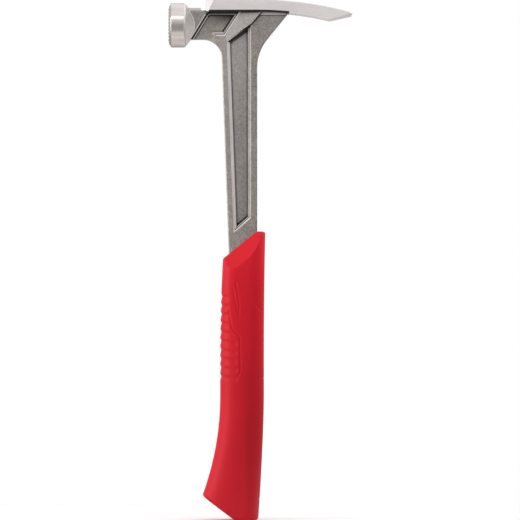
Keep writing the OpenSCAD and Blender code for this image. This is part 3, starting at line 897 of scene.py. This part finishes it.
# The poll's back edge is laid in painted highlight
def poll_finish(face):
    if face.center.x > -42 * MM:
        return CONE
    return PAINTED_HIGHLIGHT if face.center.x > -43.2 * MM else POLISHED


# Painted shade under the rail where it overhangs the forging, and the rail's top in a darker copy as painted
# shade
def rail_finish(face):
    if face.normal.z < -0.2 and -24.4 * MM < face.center.x < 34 * MM:
        return PAINTED_SHADE
    return GROUND_SHADED_TOP if face.normal.z > 0.8 else GROUND_AND_HIGHLIGHT


def add_nail_set(forging, finishes):
    """The pad on the neck, with the nail groove, the slot for the nail's head and the magnet's hole."""
    pad = make_block("pad", (-39.6 * MM, -5.5 * MM, 371.3 * MM), (-30.83 * MM, 5.5 * MM, 375.5 * MM))
    round_edges(pad, lambda e: edge_middle(e).z > 370 * MM, 0.5 * MM, 3)
    paint(pad, finishes, all_over(GROUND_AND_HIGHLIGHT))
    combine(forging, pad, "UNION")

    above = 385 * MM
    groove_end = (RAIL_FRONT + 1 * MM, 2.4 * MM, above)
    groove = make_block("groove", (-57 * MM, -2.4 * MM, GROOVE_FLOOR), groove_end)
    round_edges(groove, lambda e: edge_middle(e).z < GROOVE_FLOOR + 1 * MM and fold(e) > 1, 0.55 * MM, 4)
    slot_end = (RAIL_FRONT + 0.7 * MM, 4.9 * MM, above)
    head_slot = make_block("head slot", (-30.8 * MM, -4.9 * MM, 372 * MM), slot_end)
    bore = make_bore("magnet hole", (MAGNET_X, 0, 381.5 * MM), MAGNET_HOLE_R, 20 * MM)
    for cutter, finish in ((groove, POLISHED), (head_slot, GROUND_AND_HIGHLIGHT), (bore, GROUND_AND_HIGHLIGHT)):
        paint(cutter, finishes, all_over(finish))
        combine(forging, cutter, "DIFFERENCE")


def make_tang():
    tang = make_block("tang", (-7.2 * MM, -3.5 * MM, TANG_END), (7.2 * MM, 3.5 * MM, SHOULDER + 1 * MM))
    for i in range(LOCK_HOLES):
        place = (0, 0, SHOULDER - LOCK_HOLE_DROP - i * LOCK_HOLE_PITCH)
        hole = make_bore("lock hole", place, LOCK_HOLE_R, 20 * MM, (math.pi / 2, 0, 0))
        combine(tang, hole, "DIFFERENCE")
    return tang


def make_forging(finishes):
    forging = make_plate()
    paint(forging, finishes, all_over(GREY))

    def add(piece, finish_of, operation):
        paint(piece, finishes, finish_of)
        combine(forging, piece, operation)

    add(web_pocket(), recess_finish(WEB_LEVELS, WEB_FINISHES), "DIFFERENCE")
    add(cheek_pocket(), recess_finish(CHEEK_LEVELS, CHEEK_FINISHES), "DIFFERENCE")
    add(cheek_ramp(), all_over(GREY), "DIFFERENCE")
    add(make_brace(), brace_finish, "UNION")
    add(make_ledge(), ledge_finish, "UNION")
    add(make_poll(), poll_finish, "UNION")
    add_nail_set(forging, finishes)
    add(make_rail(), rail_finish, "UNION")
    add(make_tang(), all_over(GREY), "UNION")

    only(forging)
    bpy.ops.object.shade_smooth_by_angle(angle=math.radians(30))
    forging.modifiers.new("even shading", "WEIGHTED_NORMAL").keep_sharp = True
    apply_last(forging)
    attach(forging, "root")
    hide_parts("forged_body")


# The grip

RIB_LOW = 105 * MM
RIB_PITCH = 6.52 * MM
RIBS = 10
RIB_DEPTH = 0.72 * MM
RIB_SLOPE = 0.16
TOP_NORMAL = Vector((-math.sin(TOP_SLOPE), 0, math.cos(TOP_SLOPE)))
FACET_TILT = TOP_NORMAL * math.sin(FACET_ANGLE)
FACET_NORMALS = [FACET_TILT + Vector((0, side * math.cos(FACET_ANGLE), 0)) for side in (-1, 1)]
TOE_ANGLE = math.atan2(TOE_HEIGHT, TOE_REACH - BUTT_FLAT_FRONT)

# The heights of the grip's rings, in millimetres
RINGS = [0, 5, 11, 13.5, 14, 14.5, 15, 15.5, 16, 16.5, 19, 25, 32, 39, 46, 53, 60, 67, 74, 82, 90, 98]
RINGS += [110, 122, 134, 146, 158, 170, 178, 186, 194, 203, 211.4]

# Slender grooves in the grip's sides: their points in the side view in millimetres, half width and depth
FLUTES = [
    ([(-7.5, 170), (-3.9, 153)], 1.0 * MM, 0.4 * MM),
    ([(-5.1, 174), (-2.6, 157), (-2.9, 150)], 1.0 * MM, 0.4 * MM),
    ([(-11.2, 157.5), (-8.4, 140.6), (-2.2, 134), (-1.8, 109), (-4.5, 104)], 1.0 * MM, 0.4 * MM),
    ([(8.8, 170), (8.8, 158.2), (14.5, 152.8)], 0.8 * MM, 0.32 * MM),
    ([(10.5, 104), (15.5, 104)], 0.8 * MM, 0.16 * MM),
    ([(0, 15), (12.5, 15)], 0.8 * MM, 0.14 * MM),
]


def along(z, waist, low, low_end, low_power, high, high_end):
    """A reach from the grip's axis at a height: even at the waist, low at low_end and high at high_end."""
    below = max(0.0, (WAIST_LOW - z) / (WAIST_LOW - low_end))
    above = max(0.0, (z - WAIST_HIGH) / (high_end - WAIST_HIGH))
    return waist + (low - waist) * below ** low_power + (high - waist) * above ** 2


def finger_side(z):
    return along(z, WAIST_FRONT, TOE_REACH, TOE_HEIGHT, 2, TOP_FRONT, FRONT_EDGE)


def palm_side(z):
    return along(z, WAIST_BACK, BUTT_BACK, 0, 1.5, TOP_BACK, GRIP_TOP)


def half_thick(z):
    return along(z, WAIST_HALF, BUTT_HALF, 0, 2, TOP_HALF, GRIP_TOP)


def rib_hollow(z):
    """Depth of the hollows between the ribs, 0 to 1: a short flank below each rib, a long one above."""
    turn = (z - RIB_LOW) / RIB_PITCH
    if turn < -0.45 or turn > RIBS - 0.6:
        return 0.0
    if turn < 0:
        return smooth(-0.45, 0.0, turn)
    phase = turn % 1
    if phase < 0.4:
        return 1 - smooth(0.0, 0.4, phase)
    return ((phase - 0.4) / 0.6) ** 1.3


def flute(p, points, half_width):
    """Depth of a slender groove through points of the side view, 0 to 1."""
    here = Vector((p.x, p.z))
    depth = 0.0
    for start, end in zip(points, points[1:]):
        a, b = flat(*start), flat(*end)
        t = min(1.0, max(0.0, (here - a).dot(b - a) / (b - a).length_squared))
        depth = max(depth, 1 - smooth(0.0, half_width, (here - a - (b - a) * t).length))
    return depth


def tread(p):
    """How far the grip's surface is drawn in at a point."""
    reach = -3.4 * MM - 6.6 * MM * smooth(132 * MM, 142 * MM, p.z)
    across = 1 - smooth(reach - 2.5 * MM, reach, p.x)
    drop = RIB_SLOPE * (p.x + WAIST_FRONT)
    depth = RIB_DEPTH * rib_hollow(p.z + drop) * across
    for points, half_width, most in FLUTES:
        depth = max(depth, most * flute(p, points, half_width))
    return depth


def draw_up_grip():
    """The grip's body, drawn up ring by ring from a round start."""
    bpy.ops.object.select_all(action="DESELECT")
    bpy.ops.mesh.primitive_plane_add(size=2 * WAIST_HALF, location=(0, 0, 0))
    grip = bpy.context.active_object
    grip.name = "grip_moulding"
    open_edit(grip, "VERT")
    bpy.ops.mesh.select_all(action="SELECT")
    bpy.ops.mesh.bevel(
        offset_type="OFFSET",
        offset=WAIST_HALF,
        segments=60,
        profile=0.5325,
        affect="VERTICES",
        clamp_overlap=True,
    )
    bpy.ops.mesh.select_all(action="SELECT")
    bpy.ops.mesh.remove_doubles(threshold=0.01 * MM)
    bpy.ops.mesh.select_all(action="SELECT")
    last = (WAIST_HALF, WAIST_HALF, WAIST_HALF)
    z_last = 0
    for height in RINGS:
        z = height * MM
        if height:
            pull((0, 0, z - z_last))
        now = (finger_side(z), palm_side(z), half_thick(z))
        front, back, thick = [size / before for size, before in zip(now, last)]
        shape = bmesh.from_edit_mesh(grip.data)
        ring = [v for v in shape.verts if v.select]
        middle = (0, 0, z)
        bpy.ops.transform.resize(value=(1, thick, 1), center_override=middle)
        for scale, side in ((front, -1), (back, 1)):
            bpy.ops.mesh.select_all(action="DESELECT")
            for v in ring:
                v.select_set(v.co.x * side > 1e-6)
            bmesh.update_edit_mesh(grip.data)
            bpy.ops.transform.resize(value=(scale, 1, 1), center_override=middle)
        bpy.ops.mesh.select_all(action="DESELECT")
        for v in ring:
            v.select_set(True)
        shape.select_flush(True)
        bmesh.update_edit_mesh(grip.data)
        last = now
        z_last = z
    close_solid()

    # The section is rounder at the butt and squarer towards the top
    for v in grip.data.vertices:
        square = 2.2 + 0.7 * smooth(80 * MM, 185 * MM, v.co.z)
        u = abs(v.co.x) / (finger_side(v.co.z) if v.co.x < 0 else palm_side(v.co.z))
        w = abs(v.co.y) / half_thick(v.co.z)
        v.co.xy *= (u ** square + w ** square) ** (-1 / square)
    return grip


def add_tread(grip):
    """The ribs and the slender grooves, on fine rings."""

    def upright(e):
        z = sorted(v.co.z for v in e.verts)
        return z[1] - z[0] > 1 * MM and z[0] > 97 * MM and z[1] < 179 * MM

    shape = open_edit(grip, "EDGE")
    pick(grip, shape.edges, upright)
    bpy.ops.mesh.subdivide(number_cuts=23)
    close_edit()
    for v in grip.data.vertices:
        if 98.5 * MM < v.co.z < 177.5 * MM or 13 * MM < v.co.z < 17 * MM:
            inward = Vector((-v.co.x, -v.co.y, 0)).normalized()
            v.co += tread(v.co) * inward


def cut_ends(grip):
    """The sloping top with its facets, and the sloping toe."""
    top_line = Vector((TOP_FLAT_FRONT, 0, GRIP_TOP))
    cut(grip, top_line, TOP_NORMAL)
    for side, normal in zip((-1, 1), FACET_NORMALS):
        cut(grip, top_line + Vector((0, side * (BODY_HALF + 1 * MM), 0)), normal)
    cut(grip, (-BUTT_FLAT_FRONT, 0, 0), (-math.sin(TOE_ANGLE), 0, -math.cos(TOE_ANGLE)))


def soften_ends(grip):
    """Soft edges on the cuts, with the facets' own edges kept crisp."""

    def butt_edge(e):
        p = edge_middle(e)
        low = max(0.0, -BUTT_FLAT_FRONT - p.x) * math.tan(TOE_ANGLE)
        return abs(p.z - low) < 0.3 * MM and fold(e) > math.radians(20)

    def palm_edge(e):
        level = any(f.normal.z > 0.999 for f in e.link_faces)
        return level and any(f.normal.x > 0.4 for f in e.link_faces)

    def top_edge(e):
        return any(f.normal.dot(TOP_NORMAL) > 0.999 for f in e.link_faces) and fold(e) > math.radians(20)

    def facet_edge(e):
        flats = [f for f in e.link_faces if max(f.normal.dot(n) for n in FACET_NORMALS) > 0.9995]
        return len(flats) == 1 and fold(e) > math.radians(8)

    round_edges(grip, butt_edge, 1.6 * MM, 4)
    round_edges(grip, palm_edge, 1.8 * MM, 4)
    round_edges(grip, top_edge, 0.5 * MM, 2)
    shape = open_edit(grip, "EDGE")
    pick(grip, shape.edges, facet_edge)
    bpy.ops.mesh.mark_sharp()
    close_edit()


def make_grip(red):
    grip = draw_up_grip()
    add_tread(grip)
    cut_ends(grip)
    soften_ends(grip)

    # The hollow that the shank and the sleeve fill, open at the top
    half_x, half_y = SHANK_HALF + BOND, BODY_HALF + BOND
    high = HOLLOW_LOW + 300 * MM
    hollow = make_block("hollow", (-half_x, -half_y, HOLLOW_LOW), (half_x, half_y, high))
    combine(grip, hollow, "DIFFERENCE")
    paint(grip, (red,), all_over(0))
    bpy.ops.object.shade_smooth_by_angle(angle=math.radians(32))
    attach(grip, "root")
    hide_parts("grip")


# The studio

def make_floor():
    bpy.ops.object.select_all(action="DESELECT")
    bpy.ops.mesh.primitive_plane_add(size=0.4, location=(0, 0, -0.2 * MM))
    floor = bpy.context.active_object
    floor.name = "floor"
    bpy.ops.object.transform_apply(location=True, rotation=True, scale=True)
    material, shader, _ = finish_named("floor_pale")
    feed(shader, Base_Color=(0.96, 0.96, 0.96, 1), Roughness=0.8)
    floor.data.materials.append(material)


def make_world():
    """White to the camera. To the steel it is a dim room with brighter panels round the hammer."""
    world = bpy.data.worlds.new("studio")
    bpy.context.scene.world = world
    world.use_nodes = True
    wire = Wire(world.node_tree)
    direction = wire.node("ShaderNodeTexCoord", {}, {}, 0)
    x, y, z = [direction.axis(i) for i in range(3)]
    ahead = (y * -1).between(0.3, 0.8) * (1 - (x * x).between(0.04, 0.2))
    left = (x * -1).between(0.3, 0.9)
    up = z.between(-0.05, 0.32)
    down = (z * -1).between(0.52, 0.64)
    back = y.between(0.0, 0.8)
    over = y.between(0.2, 0.5) * z.between(0.5, 0.7)
    level = 0.1 + ahead * 0.27 + left * 0.2 + up * 0.3 + down * 0.45 + back * 0.3 + over * 0.42
    seen = wire.node("ShaderNodeLightPath", {}, {}, 0)
    feed(world.node_tree.nodes["Background"], Color=(1, 1, 1, 1), Strength=seen + (1 - seen) * level)


def add_lamp(name, place, aim, size, power):
    lamp = bpy.data.lights.new(name, "AREA")
    lamp.shape = "RECTANGLE"
    lamp.size, lamp.size_y = size
    lamp.energy = power
    holder = bpy.data.objects.new(name, lamp)
    bpy.context.scene.collection.objects.link(holder)
    holder.location = place
    holder.rotation_euler = (Vector(aim) - Vector(place)).to_track_quat("-Z", "Y").to_euler()


def make_camera():
    """Looks at the hammer's side from afar, with the handle's axis and the butt where the photo has them."""
    picture, axis_column, butt_row = 520, 243, 519.5
    pixel = 0.7341 * MM
    lens, sensor = 300, 36
    data = bpy.data.cameras.new("camera")
    data.lens = lens
    data.sensor_width = sensor
    camera = bpy.data.objects.new("camera", data)
    bpy.context.scene.collection.objects.link(camera)
    distance = picture * pixel * lens / sensor
    camera.location = ((picture / 2 - axis_column) * pixel, -distance, (butt_row - picture / 2) * pixel)
    camera.rotation_euler = (math.pi / 2, 0, 0)
    bpy.context.scene.camera = camera


make_forging((
    forged_steel("forged_steel_grey", (0.235, 0.208, 0.192), (0.535, 0.485, 0.455), (0.03, 0.026, 0.023)),
    # Ground steel for the rail and the nail set, also laid on rims and edges as painted highlight
    ground_steel("ground_steel_and_painted_highlight", (0.82, 0.765, 0.75), (0.99, 0.93, 0.915)),
    polished_steel(),
    # Painted highlight: a pale copy of the forged steel, laid on ledges and edges as light
    forged_steel("forged_steel_painted_highlight", (0.62, 0.57, 0.54), (0.84, 0.78, 0.75), (0.46, 0.42, 0.40)),
    # Painted shade: a near-black copy of the forged steel, laid where shade falls on walls and undersides
    forged_steel(
        "forged_steel_painted_shade",
        (0.018, 0.016, 0.015),
        (0.05, 0.045, 0.042),
        (0.008, 0.007, 0.006),
        metal=0.1,
        rough=0.62,
        gloss=0.15,
    ),
    # A lighter copy of the forged steel, as painted light on the brace's top and some recess walls
    forged_steel("forged_steel_painted_lit_grey", (0.39, 0.357, 0.336), (0.67, 0.616, 0.583), (0.08, 0.07, 0.065)),
    # The cone's copy of the forged steel, painted brighter below as painted light
    forged_steel(
        "forged_steel_cone",
        (0.40, 0.37, 0.35),
        (1.0, 0.94, 0.91),
        (0.46, 0.42, 0.40),
        metal=0.2,
        cone=True,
    ),
    # The rail's top in a darker copy of the ground steel: painted shade
    ground_steel("ground_steel_top_painted_shade", (0.62, 0.58, 0.568), (0.80, 0.75, 0.738)),
))
make_grip(red_elastomer())
for node, material in (("nail_magnet", nickel_plate()), ("damping_sleeve", black_elastomer())):
    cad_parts[node].data.materials.clear()
    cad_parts[node].data.materials.append(material)
make_floor()
make_world()
add_lamp("key above", (-0.15, -1.0, 1.15), (0, 0, 0.3), (1.1, 0.4), 1.4)
add_lamp("side left", (-1.05, -0.34, 0.38), (0, 0, 0.19), (0.4, 0.9), 7.5)
add_lamp("side right", (0.7, 0.18, 0.75), (0, 0, 0.3), (0.3, 0.7), 3.4)
add_lamp("front right", (0.5, -0.3, 0.6), (0, 0, 0.32), (0.25, 0.45), 0.95)
add_lamp("overhead", (0, -0.15, 1.3), (0, -0.15, 0), (0.9, 1.1), 1.7)
make_camera()
bpy.context.scene.view_settings.view_transform = "Standard"
